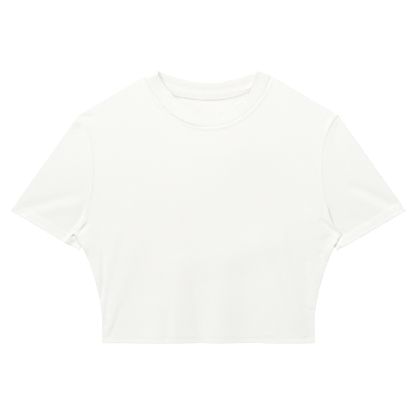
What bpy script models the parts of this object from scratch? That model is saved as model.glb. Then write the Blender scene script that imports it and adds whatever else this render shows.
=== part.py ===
# Cropped T-shirt with a round neckband and short set-in sleeves, laid flat with its front up.
# +X is the wearer's left, +Y points to the neck, and Z = 0 is the surface that it lies on.
# Each cut piece is one closed wall of cloth. Lengths are millimetres until the mesh is made.

import math

import bmesh
import bpy
from mathutils import Vector

MM = 0.001

# Cloth and seams.
WALL = 1.2             # one ply of jersey
HEM_WALL = 2.0         # two plies, where a hem is turned up
BAND_WALL = 2.0        # the neckband is folded double
TAPE_WALL = 1.0
SEAM_GAP = 0.3         # between pieces that are sewn together
UNDERARM_CLEARANCE = 0.5   # more of it, at the foot of the armhole
BODY_HEM_DEPTH = 16.0
SLEEVE_HEM_DEPTH = 14.0
HEM_STEP = 3.0         # over which the wall thickens to the turned-up allowance
TAPE_WIDTH = 5.5
BAND_REST = 2.9        # underside of the band's front half, over its back half
PUFF = 2.2             # how far the front stands off the back, away from its edges
NECK_CALM = 0.62       # share of the puff that is lost at the neckline
NECK_CALM_REACH = 34.0
BODY_EDGE_REACH = 24.0     # how far in from a closed edge the front rises
SLEEVE_EDGE_REACH = 16.0
LIFT_POWER = 1.4       # how softly the front starts to rise at a closed edge
BAND_CORNER_CLEARANCE = 1.4    # between the turned-over band and the panels' corner

# The cut. Each place is (distance from the centre line, drop below the highest point).
BODY_LENGTH = 450.0
HALF_HEM = 175.8
PLACES = {
    "band tip": (83.1, 0.0),
    "neck": (104.5, 7.7),
    "shoulder": (215.6, 73.3),
    "underarm": (220.0, 271.0),
    "cuff tip": (326.2, 230.4),
    "cuff corner": (212.8, 297.6),
    "waist": (HALF_HEM, 415.0),
    "hem": (HALF_HEM, BODY_LENGTH),
    "front neck": (0.0, 93.5),
    "back neck": (0.0, 42.2),
    "front band edge": (0.0, 72.0),
    "back band edge": (0.0, 19.6),
}
# Curved edges: place they start from, two handles, place they end at.
CURVES = {
    "front neckline": ("neck", (93.6, 46.7), (56.3, 93.5), "front neck"),
    "back neckline": ("neck", (96.0, 25.0), (45.0, 42.2), "back neck"),
    "front band edge": ("band tip", (80.1, 33.6), (30.4, 72.0), "front band edge"),
    "back band edge": ("band tip", (65.0, 7.2), (30.0, 19.0), "back band edge"),
    "armhole": ("shoulder", (174.2, 109.0), (182.0, 235.0), "underarm"),
    "side": ("underarm", (197.1, 299.9), (175.2, 380.1), "waist"),
}

# Largest soft folds of the upper layer. +x is the wearer's left; a negative rise is a trough.
FOLDS = [
    # name                      x0    drop0     x1    drop1  half width  rise
    ("left waist ridge",       92.0,  310.0,   100.0,  450.0,  17.0,    1.5),
    ("left waist trough",     108.0,  272.0,   160.0,  436.0,  13.0,   -1.5),
    ("middle ridge",           -6.0,  300.0,     4.0,  450.0,  18.0,    1.8),
    ("middle left trough",     40.0,  292.0,    48.0,  450.0,  16.0,   -1.6),
    ("middle right trough",   -36.0,  294.0,   -36.0,  450.0,  14.0,   -1.5),
    ("right waist ridge",     -96.0,  326.0,   -98.0,  450.0,  18.0,    1.3),
    ("right waist trough",   -106.0,  278.0,  -160.0,  438.0,  14.0,   -1.7),
    ("left underarm trough",  176.0,  238.0,   208.0,  266.0,   9.0,   -1.0),
    ("left sleeve trough",    232.0,  177.0,   314.0,  222.0,  11.0,   -1.2),
    ("left sleeve ridge",     226.0,  196.0,   300.0,  232.0,  10.0,    1.1),
    ("right sleeve trough",  -206.0,  193.0,  -308.0,  222.0,  11.0,   -1.2),
    ("right sleeve ridge",   -214.0,  212.0,  -296.0,  235.0,  10.0,    1.0),
]

# Colours of the cloth: base colour and roughness.
FABRICS = {
    "jersey": ((0.90, 0.89, 0.86, 1.0), 0.88),
    "rib": ((0.89, 0.88, 0.85, 1.0), 0.92),
    "tape": ((0.88, 0.87, 0.84, 1.0), 0.84),
}

# How finely each piece is cut into sections.
ARMHOLE_SECTIONS = 12
FRONT_NECK_SECTIONS = 9
BACK_NECK_SECTIONS = 7
FRONT_SHOULDER_SECTIONS = 6
BACK_SHOULDER_SECTIONS = 4
FRONT_SIDE_SECTIONS = 8
BACK_SIDE_SECTIONS = 5
SLEEVE_ROWS = 6         # along a sleeve, down to its turned-up cuff
SLEEVE_TURN_STEPS = 3   # round each closed edge of a sleeve
BAND_TURN_STEPS = 5     # round the band's turn at each shoulder
UNDERARM_SECTION = 0.2  # share of the cuff below the underarm point, which the last section takes
NECK_FADE = 3           # how fast the rows lose the neckline's shape on their way to the hem
SHARP_ANGLE = math.radians(50.0)


def at(width, drop):
    """Plan point from a pattern maker's distances."""
    return Vector((width, BODY_LENGTH / 2 - drop, 0.0))


def place(name):
    return at(*PLACES[name])


def line(start, end, sections):
    return [start.lerp(end, i / sections) for i in range(sections + 1)]


def curve(name, sections):
    """Points of one curved edge, evenly spread over its cubic."""
    first, handle_a, handle_b, last = CURVES[name]
    a, b, c, d = place(first), at(*handle_a), at(*handle_b), place(last)
    points = []
    for i in range(sections + 1):
        t = i / sections
        s = 1.0 - t
        points.append(a * s**3 + b * 3 * s * s * t + c * 3 * s * t * t + d * t**3)
    return points


def shifted(points, distance):
    """The same edge moved sideways, to the right of its direction when distance is positive."""
    moved = []
    for i, point in enumerate(points):
        along = points[min(i + 1, len(points) - 1)] - points[max(i - 1, 0)]
        along.normalize()
        moved.append(point + Vector((along.y, -along.x, 0.0)) * distance)
    return moved


def mirrored(point):
    return Vector((-point.x, point.y, point.z))


def distance_to(point, edge):
    """Shortest way in plan from a point to a row of joined points."""
    best = math.inf
    for start, end in zip(edge, edge[1:]):
        run = end - start
        share = (point - start).dot(run) / run.length_squared
        nearest = start + run * min(1.0, max(0.0, share))
        best = min(best, (point - nearest).length)
    return best


def smooth(value, low, high):
    share = min(1.0, max(0.0, (value - low) / (high - low)))
    return share * share * (3.0 - 2.0 * share)


# Edges where the upper and lower plies are joined, so that the cloth is lowest there.
SHOULDER_SEAM = [place("neck"), place("shoulder")]
SLEEVE_FOLD = [place("shoulder"), place("cuff tip")]
SLEEVE_SEAM = [place("underarm"), place("cuff corner")]
SIDE_SEAM = curve("side", 8) + [place("hem")]
NECKLINE = curve("front neckline", 8)
CLOSED_EDGES = [
    (SHOULDER_SEAM, BODY_EDGE_REACH),
    (SIDE_SEAM, BODY_EDGE_REACH),
    (SLEEVE_FOLD, SLEEVE_EDGE_REACH),
    (SLEEVE_SEAM, SLEEVE_EDGE_REACH),
]
CUFF = [place("cuff tip"), place("cuff corner")]


def panel_wall(point):
    """Wall of a body panel, which thickens where its hem is turned up."""
    depth = BODY_LENGTH / 2 + point.y
    return HEM_WALL + (WALL - HEM_WALL) * smooth(depth, BODY_HEM_DEPTH, BODY_HEM_DEPTH + HEM_STEP)


def sleeve_wall(point):
    """Wall of a sleeve, which thickens where its cuff is turned up."""
    half = Vector((abs(point.x), point.y, 0.0))
    depth = distance_to(half, CUFF)
    return HEM_WALL + (WALL - HEM_WALL) * smooth(depth, SLEEVE_HEM_DEPTH, SLEEVE_HEM_DEPTH + HEM_STEP)


def fold_rise(point):
    """Sum of the soft folds at a point: rounded across, fading out at both ends."""
    total = 0.0
    for _name, x0, drop0, x1, drop1, half_width, rise in FOLDS:
        start, end = at(x0, drop0), at(x1, drop1)
        run = end - start
        share = (point - start).dot(run) / run.length_squared
        across = (point - start - run * share).length / half_width
        along = max(0.0, -share, share - 1.0) * run.length / (2.0 * half_width)
        total += rise * math.exp(-across * across - along * along)
    return total


def upper_height(point, lower_wall):
    """Underside of the upper ply, over a lower ply of the wall given."""
    half = Vector((abs(point.x), point.y, 0.0))
    lift = 1.0
    for edge, reach in CLOSED_EDGES:
        lift *= 1.0 - math.exp(-((distance_to(half, edge) / reach) ** LIFT_POWER))
    calm = NECK_CALM * math.exp(-((distance_to(half, NECKLINE) / NECK_CALM_REACH) ** 2))
    return lower_wall + SEAM_GAP + lift * (PUFF * (1.0 - calm) + fold_rise(point))


def cloth_grid(columns, rows, position, wrap=False):
    """Grid of columns by rows faces, each vertex put where position(column, row) says.

    With wrap, the last column meets the first and the last row the first, in one closed wall.
    """
    mesh = bmesh.new()
    bmesh.ops.create_grid(mesh, x_segments=columns, y_segments=rows, size=0.5)
    for vertex in mesh.verts:
        column = round((vertex.co.x + 0.5) * columns)
        row = round((vertex.co.y + 0.5) * rows)
        if wrap:
            column %= columns
            row %= rows
        vertex.co = position(column, row) * MM
    if wrap:
        bmesh.ops.remove_doubles(mesh, verts=mesh.verts, dist=0.001 * MM)
    return mesh


def raise_wall(mesh, wall):
    """Close an open sheet into a wall by raising a copy of it by wall(point)."""
    raised = bmesh.ops.extrude_face_region(mesh, geom=mesh.faces[:], use_keep_orig=True)
    for item in raised["geom"]:
        if isinstance(item, bmesh.types.BMVert):
            item.co.z += wall(item.co / MM) * MM


def add_piece(name, mesh, fabric):
    bmesh.ops.recalc_face_normals(mesh, faces=mesh.faces)
    data = bpy.data.meshes.new(name)
    mesh.to_mesh(data)
    mesh.free()
    data.shade_smooth()
    data.set_sharp_from_angle(angle=SHARP_ANGLE)
    data.materials.append(fabric)
    piece = bpy.data.objects.new(name, data)
    garment.objects.link(piece)


def add_fabric(name, colour, roughness):
    fabric = bpy.data.materials.new(name)
    fabric.use_nodes = True
    shader = fabric.node_tree.nodes["Principled BSDF"]
    shader.inputs["Base Color"].default_value = colour
    shader.inputs["Roughness"].default_value = roughness
    shader.inputs["Metallic"].default_value = 0.0
    return fabric


def panel_sheet(neckline, neck_sections, shoulder_sections, side_sections, height):
    """One body panel, both halves. Its rows run across and its columns from neck to hem."""
    neck_edge = curve(neckline, neck_sections)[::-1]
    top = neck_edge[:-1] + line(place("neck"), place("shoulder"), shoulder_sections)
    side = curve("armhole", ARMHOLE_SECTIONS)[:-1] + curve("side", side_sections)
    shaped_rows = len(side) - 1
    centre = line(top[0], at(0.0, PLACES["waist"][1]), shaped_rows)
    for depth in (BODY_HEM_DEPTH + HEM_STEP, BODY_HEM_DEPTH, BODY_HEM_DEPTH / 2, 0.0):
        side.append(at(HALF_HEM, BODY_LENGTH - depth))
        centre.append(at(0.0, BODY_LENGTH - depth))
    half_columns = len(top) - 1

    def position(column, row):
        step = abs(column - half_columns)
        share = step / half_columns
        neck_shape = top[step] - top[0].lerp(top[-1], share)
        fade = max(0.0, 1.0 - row / shaped_rows) ** NECK_FADE
        point = centre[row].lerp(side[row], share) + neck_shape * fade
        if column < half_columns:
            point = mirrored(point)
        point.z = height(point)
        return point

    return cloth_grid(2 * half_columns, len(side) - 1, position)


def back_panel():
    """Lies flat on the surface; its hem allowance is turned up inside."""
    mesh = panel_sheet("back neckline", BACK_NECK_SECTIONS, BACK_SHOULDER_SECTIONS,
                       BACK_SIDE_SECTIONS, lambda point: 0.0)
    raise_wall(mesh, panel_wall)
    add_piece("back_panel", mesh, fabrics["jersey"])


def front_panel():
    """Lies on the back panel, meets it at the sides and shoulders, and stands off between."""
    def height(point):
        return upper_height(point, panel_wall(point))

    mesh = panel_sheet("front neckline", FRONT_NECK_SECTIONS, FRONT_SHOULDER_SECTIONS,
                       FRONT_SIDE_SECTIONS, height)
    raise_wall(mesh, panel_wall)
    add_piece("front_panel", mesh, fabrics["jersey"])


def sleeve(name, side_sign):
    """Flattened tube, folded along the arm's top and seamed under it, open at both ends."""
    armhole = shifted(curve("armhole", ARMHOLE_SECTIONS), -SEAM_GAP)
    armhole[-1].x += UNDERARM_CLEARANCE  # the sleeve's seam passes beside the body's underarm point
    cuff_tip, cuff_corner = CUFF
    last_section = cuff_tip.lerp(cuff_corner, 1.0 - UNDERARM_SECTION)
    cuff = line(cuff_tip, last_section, ARMHOLE_SECTIONS - 1) + [cuff_corner]
    cuff_run = (cuff_corner - cuff_tip).normalized()
    plan = []
    for start, end in zip(armhole, cuff):
        run = (start - end).normalized()
        slant = math.sqrt(1.0 - run.dot(cuff_run) ** 2)
        to_hem = [end + run * depth / slant for depth in (SLEEVE_HEM_DEPTH + HEM_STEP,
                  SLEEVE_HEM_DEPTH, SLEEVE_HEM_DEPTH / 2, 0.0)]
        plan.append(line(start, to_hem[0], SLEEVE_ROWS) + to_hem[1:])
    lengthwise = len(plan[0])
    under_run = (cuff[-1] - armhole[-1]).normalized()

    def inward(across, along):
        """Way into the sleeve from one of its closed edges."""
        if across == 0:
            return (plan[1][along] - plan[0][along]).normalized()
        return Vector((-under_run.y, under_run.x, 0.0))

    def ply_point(across, along):
        """Plan point of the ply, and the radius of the turn if it is where a turn starts."""
        point = plan[across][along]
        if 0 < across < ARMHOLE_SECTIONS:
            return point, 0.0
        radius = sleeve_wall(point) + SEAM_GAP / 2
        return point + inward(across, along) * radius, radius

    def turn_point(across, along, step, inset):
        """Point on the half-round turn at a closed edge, from the lower ply to the upper."""
        centre, radius = ply_point(across, along)
        angle = math.pi * (step / (SLEEVE_TURN_STEPS + 1) - 0.5)
        reach = radius - inset
        point = centre - inward(across, along) * reach * math.cos(angle)
        return Vector((point.x, point.y, radius + reach * math.sin(angle)))

    def section_point(column, along, inset):
        """Goes round the tube: lower ply, underarm turn, upper ply, top turn."""
        ply = ARMHOLE_SECTIONS + 1
        if column < ply:
            point, _radius = ply_point(column, along)
            return Vector((point.x, point.y, inset))
        column -= ply
        if column < SLEEVE_TURN_STEPS:
            return turn_point(ARMHOLE_SECTIONS, along, column + 1, inset)
        column -= SLEEVE_TURN_STEPS
        if column < ply:
            point, radius = ply_point(ARMHOLE_SECTIONS - column, along)
            seen = Vector((point.x * side_sign, point.y, 0.0))
            wall = sleeve_wall(seen)
            top = 2 * radius if radius else upper_height(seen, wall) + wall
            return Vector((point.x, point.y, top - inset))
        column -= ply
        return turn_point(0, along, SLEEVE_TURN_STEPS - column, inset)

    def position(column, row):
        """Rows go down the outside of the tube, over the cuff, and back up the inside."""
        inside = row >= lengthwise
        along = 2 * lengthwise - 1 - row if inside else row
        inset = sleeve_wall(plan[ARMHOLE_SECTIONS // 2][along]) if inside else 0.0
        point = section_point(column, along, inset)
        return point if side_sign > 0 else mirrored(point)

    columns = 2 * (ARMHOLE_SECTIONS + 1 + SLEEVE_TURN_STEPS)
    mesh = cloth_grid(columns, 2 * lengthwise, position, wrap=True)
    add_piece(name, mesh, fabrics["jersey"])


def neckband():
    """Ring of doubled rib. Its back half lies lowest and turns over at the shoulders."""
    back_outer = shifted(curve("back neckline", BACK_NECK_SECTIONS), SEAM_GAP)[::-1]
    front_outer = shifted(curve("front neckline", FRONT_NECK_SECTIONS), SEAM_GAP)
    back_inner = curve("back band edge", BACK_NECK_SECTIONS)[::-1]
    front_inner = curve("front band edge", FRONT_NECK_SECTIONS)
    middle_low = BAND_WALL / 2
    middle_high = BAND_REST + BAND_WALL / 2
    turn_radius = (middle_high - middle_low) / 2
    bulge = turn_radius + BAND_WALL / 2
    fold_run = (place("neck") - place("band tip")).normalized()
    outward = Vector((-fold_run.y, fold_run.x, 0.0))
    fold_inner = place("band tip") - outward * bulge
    fold_outer = place("neck") - outward * bulge - fold_run * BAND_CORNER_CLEARANCE
    sections = []
    up = Vector((0.0, 0.0, 1.0))
    for inner, outer in zip(back_inner[:-1], back_outer[:-1]):
        sections.append((inner, outer, middle_low, middle_low, up))
    for step in range(BAND_TURN_STEPS + 1):
        angle = math.pi * (step / BAND_TURN_STEPS - 0.5)
        reach = outward * turn_radius * math.cos(angle)
        middle = middle_low + turn_radius * (1 + math.sin(angle))
        inward = -outward * math.cos(angle) - up * math.sin(angle)
        sections.append((fold_inner + reach, fold_outer + reach, middle, middle, inward))
    for inner, outer in zip(front_inner[1:], front_outer[1:]):
        heights = [max(BAND_REST, upper_height(point, WALL)) + BAND_WALL / 2 for point in (inner, outer)]
        sections.append((inner, outer, heights[0], heights[1], -up))
    half = len(sections)

    def corner(section, column):
        inner, outer, inner_height, outer_height, inward = section
        point = inner if column in (0, 3) else outer
        height = inner_height if column in (0, 3) else outer_height
        side = inward if column in (0, 1) else -inward
        return Vector((point.x, point.y, height)) + side * BAND_WALL / 2

    def position(column, row):
        """Rows go from the back centre round by the left shoulder to the front and on."""
        if row < half:
            return corner(sections[row], column)
        return mirrored(corner(sections[2 * half - 2 - row], column))

    mesh = cloth_grid(4, 2 * half - 2, position, wrap=True)
    add_piece("neckband", mesh, fabrics["rib"])


def neck_tape():
    """Strip that covers the back neck seam on the inside, raised off the back panel."""
    seam = curve("back neckline", BACK_NECK_SECTIONS)[2:]
    lower = shifted(seam, -TAPE_WIDTH)
    seam += [mirrored(point) for point in seam[-2::-1]]
    lower += [mirrored(point) for point in lower[-2::-1]]
    height = WALL + SEAM_GAP

    def position(column, row):
        point = seam[row] if column else lower[row]
        return Vector((point.x, point.y, height))

    mesh = cloth_grid(1, len(seam) - 1, position)
    raise_wall(mesh, lambda point: TAPE_WALL)
    add_piece("neck_tape", mesh, fabrics["tape"])


for old in list(bpy.data.objects):
    bpy.data.objects.remove(old)

garment = bpy.data.collections.new("crop_top")
bpy.context.scene.collection.children.link(garment)
fabrics = {name: add_fabric(name, *look) for name, look in FABRICS.items()}

back_panel()
front_panel()
sleeve("sleeve_left", 1)
sleeve("sleeve_right", -1)
neckband()
neck_tape()
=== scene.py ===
# Looks of a cropped T-shirt laid flat, front up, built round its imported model.
# +X is the wearer's left, +Y points to the neck. Lengths here are millimetres until a mesh is made.
import math

import bpy
import numpy as np
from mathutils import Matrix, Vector


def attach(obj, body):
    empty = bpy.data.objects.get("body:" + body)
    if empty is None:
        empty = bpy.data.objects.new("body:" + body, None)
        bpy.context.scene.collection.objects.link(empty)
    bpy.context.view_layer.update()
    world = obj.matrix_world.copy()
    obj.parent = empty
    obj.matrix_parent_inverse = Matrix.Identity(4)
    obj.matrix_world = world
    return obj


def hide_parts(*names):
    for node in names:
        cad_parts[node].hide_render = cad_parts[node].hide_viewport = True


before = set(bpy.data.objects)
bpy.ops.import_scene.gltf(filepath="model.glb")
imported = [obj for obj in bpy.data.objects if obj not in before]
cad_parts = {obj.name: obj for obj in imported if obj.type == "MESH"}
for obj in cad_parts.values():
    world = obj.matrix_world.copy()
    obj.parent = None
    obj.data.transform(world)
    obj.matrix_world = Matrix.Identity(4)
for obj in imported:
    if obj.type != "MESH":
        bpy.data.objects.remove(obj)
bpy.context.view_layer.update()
mm = 0.001

# Measures of the cloth, and how softly it lies.
garment = {
    "bodyLength": 450.0,
    "ply": 0.72,             # one layer of jersey
    "edgeThickness": 2.95,   # seam edge with its allowances inside
    "hemEdgeThickness": 3.2,
    "hemDepth": 16.5,
    "cuffDepth": 13.5,
    "cuffsFrom": 180.0,      # distance from the centre line that parts the cuffs from the body's hem
    "curlRadius": 0.6,       # of the closed edges
    "foldReach": 0.75,       # of the round turn at a folded edge
    "seamGap": 0.16,         # between two pieces at a seam line
    "puff": 1.2,             # how far the front stands off the back, away from its edges
    "sleeveFlatness": 0.5,   # share of the puff that is lost towards the cuffs
    "neckCalm": 0.3,         # share of the puff that is lost at the neckline
    "neckCalmReach": 34.0,
    "bodyEdgeReach": 50.0,   # how far in from a closed edge the front rises
    "sleeveEdgeReach": 34.0,
    "foldEdgeReach": 9.0,    # how near a closed edge the folds still run
}
# Corners of the cut: distance from the centre line, drop below the highest point.
places = {
    "bandTip": (83.1, 0.0),
    "neck": (104.5, 7.7),
    "shoulder": (215.6, 73.3),
    "underarm": (220.0, 271.0),
    "cuffTip": (326.2, 230.4),
    "cuffCorner": (212.8, 297.6),
    "waist": (175.8, 415.0),
    "hem": (175.8, 450.0),
    "frontNeck": (0.0, 93.5),
    "backNeck": (0.0, 42.2),
    "frontBandEdge": (0.0, 72.0),
    "backBandEdge": (0.0, 19.6),
}
# Curved edges: place they start from, two handles, place they end at.
curves = {
    "frontNeckline": ("neck", (93.6, 46.7), (56.3, 93.5), "frontNeck"),
    "backNeckline": ("neck", (96.0, 25.0), (45.0, 42.2), "backNeck"),
    "frontBandEdge": ("bandTip", (78.5, 31.0), (26.0, 72.0), "frontBandEdge"),
    "frontBandEdgeLeft": ("bandTip", (83.0, 36.0), (38.0, 72.0), "frontBandEdge"),
    "backBandEdge": ("bandTip", (65.0, 7.2), (30.0, 19.0), "backBandEdge"),
    "armhole": ("shoulder", (174.2, 109.0), (182.0, 235.0), "underarm"),
    "side": ("underarm", (197.1, 299.9), (175.2, 380.1), "waist"),
}

# Folds: line through three points (x, drop), width on its low side (towards -X or the hem) and on its
# high side (towards +X or the neck), rise at its start and at its end. A negative rise is a trough.
# Left and right are the wearer's.
bodyFolds = {
    "rightSideLobe":      (((-200, 255), (-184, 320), (-181, 362)), 9, 9, 0.9, 0.5),
    "rightSideCrease":    (((-176, 290), (-173, 336), (-177, 376)), 3.2, 3.0, -0.7, -2.0),
    "rightWaistLine":     (((-166, 352), (-167, 382), (-172, 420)), 2.2, 6.0, -0.5, -1.3),
    "rightChestFold":     (((-150, 250), (-158, 295), (-170, 340)), 18, 10, 0.5, 0.9),
    "rightLongFold":      (((-108, 250), (-133, 325), (-161, 408)), 26, 12, 0.6, 1.0),
    "rightKnotCrease":    (((-141, 374), (-150, 404), (-162, 437)), 2.2, 4.5, -0.15, -0.75),
    "rightHemRoll":       (((-96, 365), (-90, 412), (-85, 456)), 28, 16, 0.3, 2.3),
    "rightHemDip":        (((-68, 390), (-67, 420), (-68, 440)), 7, 6, -0.2, -0.45),
    "middleRightFold":    (((-48, 288), (-49, 350), (-54, 450)), 32, 24, 0.8, 2.1),
    "middleRightRoll":    (((-53, 320), (-52, 390), (-54, 450)), 9, 5, 0.1, 0.45),
    "middleValley":       (((-38, 275), (-22, 360), (-11, 450)), 11, 14, -0.25, -1.4),
    "middleRise":         (((34, 262), (25, 360), (18, 450)), 20, 20, 0.2, 1.9),
    "middleLeftValley":   (((56, 320), (64, 400), (72, 450)), 28, 22, -0.2, -2.6),
    "leftBroadFold":      (((30, 140), (38, 250), (60, 340)), 90, 70, 3.6, 0.8),
    "leftLongFold":       (((78, 245), (111, 360), (150, 446)), 60, 12, 1.4, 2.5),
    "leftSideFold":       (((117, 250), (136, 352), (150, 405)), 30, 8, 0.9, 1.3),
    "leftFlankDip":       (((158, 300), (160, 345), (166, 380)), 8, 8, -0.5, -0.6),
    "leftUnderLobe":      (((204, 290), (186, 340), (178, 380)), 8, 9, 0.8, 0.4),
    "leftShortCrease":    (((184, 300), (187, 311), (191, 323)), 2.0, 2.0, -0.8, -0.4),
    "leftSmallCrease":    (((179, 314), (183, 321), (187, 329)), 2.2, 2.0, -0.3, -0.5),
    "leftKink":           (((164, 374), (167, 384), (170, 392)), 4.0, 3.0, 0.3, 0.9),
    "leftHook":           (((164, 393), (170, 396), (176, 393)), 2.0, 2.0, -0.8, -0.6),
    "rightArmCrease":     (((-195.5, 247.7), (-204.3, 257.5), (-214.5, 266.8)), 1.8, 5.0, -0.7, -1.3),
    "leftArmLobe":        (((168, 238), (185, 258), (198, 276)), 18, 8, 0.8, 0.7),
    "leftArmTrough":      (((181, 243), (198.5, 256.5), (211, 268)), 5.5, 2.6, -0.5, -2.0),
    "rightShoulderDip":   (((-208, 74.5), (-199, 75.5), (-184, 78)), 4.5, 3.2, -1.1, -0.3),
    "rightHemKnot":       (((-166, 439), (-163, 440), (-160, 441)), 3.2, 3.2, -0.5, -0.3),
    "leftHemKnot":        (((161, 441), (165, 441), (168, 442)), 3.2, 3.2, -0.6, -0.4),
}
sleeveFolds = {
    "rightCuffTrough":    (((-316, 234), (-262, 216), (-200, 202)), 9, 9, -1.1, -0.5),
    "rightCuffRidge":     (((-282, 238), (-255, 229), (-216, 219)), 7, 6, 0.2, 0.3),
    "rightLowTrough":     (((-268, 246), (-240, 241), (-216, 240)), 8, 7, -0.2, -0.35),
    "rightSeamTrough":    (((-203, 214), (-209, 239), (-224, 260)), 6, 3, -0.3, -0.7),
    "rightCapRidge":      (((-213, 84), (-206, 96), (-201, 112)), 4, 4, 0.7, 0.3),
    "rightCapTrough":     (((-213, 96), (-206, 118), (-200, 146)), 8, 7, -1.3, -0.3),
    "leftCuffTrough":     (((226, 186), (268, 204), (314, 228)), 9, 8, -0.6, -1.6),
    "leftCuffRidge":      (((228, 199), (262, 216), (292, 230)), 9, 7, 0.4, 0.45),
    "leftLowTrough":      (((234, 236), (246, 243), (260, 250)), 7, 6, -0.3, -0.3),
    "leftCapRidge":       (((206, 72), (199.5, 90), (193.5, 112)), 3.5, 8, 0.45, 0.3),
    "leftCapTrough":      (((217, 86), (211, 104), (205, 128)), 7, 7, -0.5, -0.2),
}


def at(width, drop):
    return np.array([width, garment["bodyLength"] / 2 - drop])


def place(name):
    return at(*places[name])


def line(start, end, shares):
    shares = np.asarray(shares, float)[:, None]
    return start * (1 - shares) + end * shares


def curve(name, shares):
    first, handleA, handleB, last = curves[name]
    a, b, c, d = place(first), at(*handleA), at(*handleB), place(last)
    t = np.asarray(shares, float)[:, None]
    s = 1 - t
    return a * s**3 + b * 3 * s * s * t + c * 3 * s * t * t + d * t**3


def even(count):
    return np.linspace(0, 1, count + 1)


def lengths(points):
    # way gone along a row of points
    return np.concatenate([[0], np.cumsum(np.hypot(*np.diff(points, axis=0).T))])


def alongCurve(name, distances):
    # points of a curved edge at given distances from its start
    fine = curve(name, even(400))
    gone = lengths(fine)
    wanted = np.minimum(distances, gone[-1])
    return np.stack([np.interp(wanted, gone, fine[:, i]) for i in (0, 1)], axis=1)


def curveLength(name):
    return lengths(curve(name, even(400)))[-1]


def spread(total, starts=(), ends=(), step=2.1):
    # distances from 0 to total: close set ones at the start and the end, even steps of about step between
    first, last = (starts[-1] if starts else 0.0), total - (ends[-1] if ends else 0.0)
    count = max(1, round((last - first) / step))
    middle = np.linspace(first, last, count + 1)
    return np.concatenate([[0.0] if starts else [], starts[:-1], middle,
                           [total - d for d in ends[-2::-1]], [total] if ends else []])


def shifted(points, distance):
    # the same edge moved sideways, to the right of its direction when distance is positive
    way = np.gradient(points, axis=0)
    way /= np.hypot(way[:, 0], way[:, 1])[:, None]
    return points + np.stack([way[:, 1], -way[:, 0]], axis=1) * distance


def towards(start, end):
    # unit vector from start to end
    return (end - start) / np.hypot(*(end - start))


def leftOf(start, end):
    # unit vector to the left of the way from start to end
    run = towards(start, end)
    return np.array([-run[1], run[0]])


def between(rows, index):
    # row at a broken index, mixed from its two neighbours
    low = int(index)
    share = index - low
    return rows[low] * (1 - share) + rows[min(low + 1, len(rows) - 1)] * share


def nearest(x, y, points):
    # distance to a row of joined points, side (positive to the left of its direction), share of its length
    best = np.full(np.shape(x), np.inf)
    side, share = np.zeros(np.shape(x)), np.zeros(np.shape(x))
    gone = lengths(points)
    for i in range(len(points) - 1):
        run = points[i + 1] - points[i]
        long = gone[i + 1] - gone[i]
        if long == 0:
            continue
        t = ((x - points[i][0]) * run[0] + (y - points[i][1]) * run[1]) / long**2
        inside = np.clip(t, 0, 1)
        away = np.hypot(x - points[i][0] - run[0] * inside, y - points[i][1] - run[1] * inside)
        cross = (run[0] * (y - points[i][1]) - run[1] * (x - points[i][0])) / long
        closer = away < best
        best = np.where(closer, away, best)
        side = np.where(closer, np.sign(cross), side)
        share = np.where(closer, (gone[i] + inside * long) / gone[-1], share)
    return best, side, share


def smooth(value, low, high):
    share = np.clip((value - low) / (high - low), 0, 1)
    return share * share * (3 - 2 * share)


def bump(distance, width):
    return np.exp(-(distance / width) ** 2)


def foldHeight(x, y, folds):
    total = np.zeros(np.shape(x))
    for points, lowWidth, highWidth, riseStart, riseEnd in folds.values():
        a, b, c = (at(*p) for p in points)
        t = even(6)[:, None]
        control = 2 * b - (a + c) / 2
        route = a * (1 - t) ** 2 + control * 2 * t * (1 - t) + c * t * t
        away, side, share = nearest(x, y, route)
        run = c - a
        left = np.array([-run[1], run[0]])
        highIsLeft = left[0] > 0 if abs(run[1]) > abs(run[0]) else left[1] > 0
        onHigh = side > 0 if highIsLeft else side < 0
        width = np.where(onHigh, highWidth, lowWidth)
        over = np.zeros(np.shape(x))            # how far past either end
        for end, before, beyond in ((route[-1], route[-2], share >= 1), (route[0], route[1], share <= 0)):
            out = towards(before, end)
            over = np.where(beyond, (x - end[0]) * out[0] + (y - end[1]) * out[1], over)
        across = np.sqrt(np.maximum(away**2 - over**2, 0))
        # a fold fades in from its weaker end
        fromWeak = share if abs(riseStart) <= abs(riseEnd) else 1 - share
        rise = (riseStart + (riseEnd - riseStart) * share) * smooth(fromWeak, 0, 0.2)
        total += rise * bump(across, width) * bump(over, (lowWidth + highWidth) / 2)
    return total


# Edges. Along the first four the upper and lower plies are joined, so that the cloth is lowest there.
shoulderSeam = np.array([place("neck"), place("shoulder")])
sleeveFold = np.array([place("shoulder"), place("cuffTip")])
# the sleeve's lower edge lies against the side of the body before it reaches the cuff
sleeveSeam = np.array([place("underarm"), at(217.6, 273.0), at(211.2, 281.4), at(208.4, 286.9),
                       at(208.0, 291.0), place("cuffCorner")])
sideSeam = np.vstack([curve("side", even(12)), place("hem")])
frontNeckline = curve("frontNeckline", even(24))
armhole = curve("armhole", even(24))
cuff = np.array([place("cuffTip"), place("cuffCorner")])
hemY = -garment["bodyLength"] / 2


def hemZone(x, y):
    # 1 where the cloth is turned up, 0 elsewhere
    body = 1 - smooth(y - hemY, garment["hemDepth"] - 1, garment["hemDepth"] + 4)
    half = np.abs(x)
    fromCuff = nearest(half, y, cuff)[0]
    sleeve = 1 - smooth(fromCuff, garment["cuffDepth"] - 1, garment["cuffDepth"] + 4)
    return np.maximum(body * (half < garment["cuffsFrom"]), sleeve * (half > garment["cuffsFrom"]))


def edgeThickness(x, y):
    thin, thick = garment["edgeThickness"], garment["hemEdgeThickness"]
    return thin + (thick - thin) * hemZone(x, y)


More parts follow.
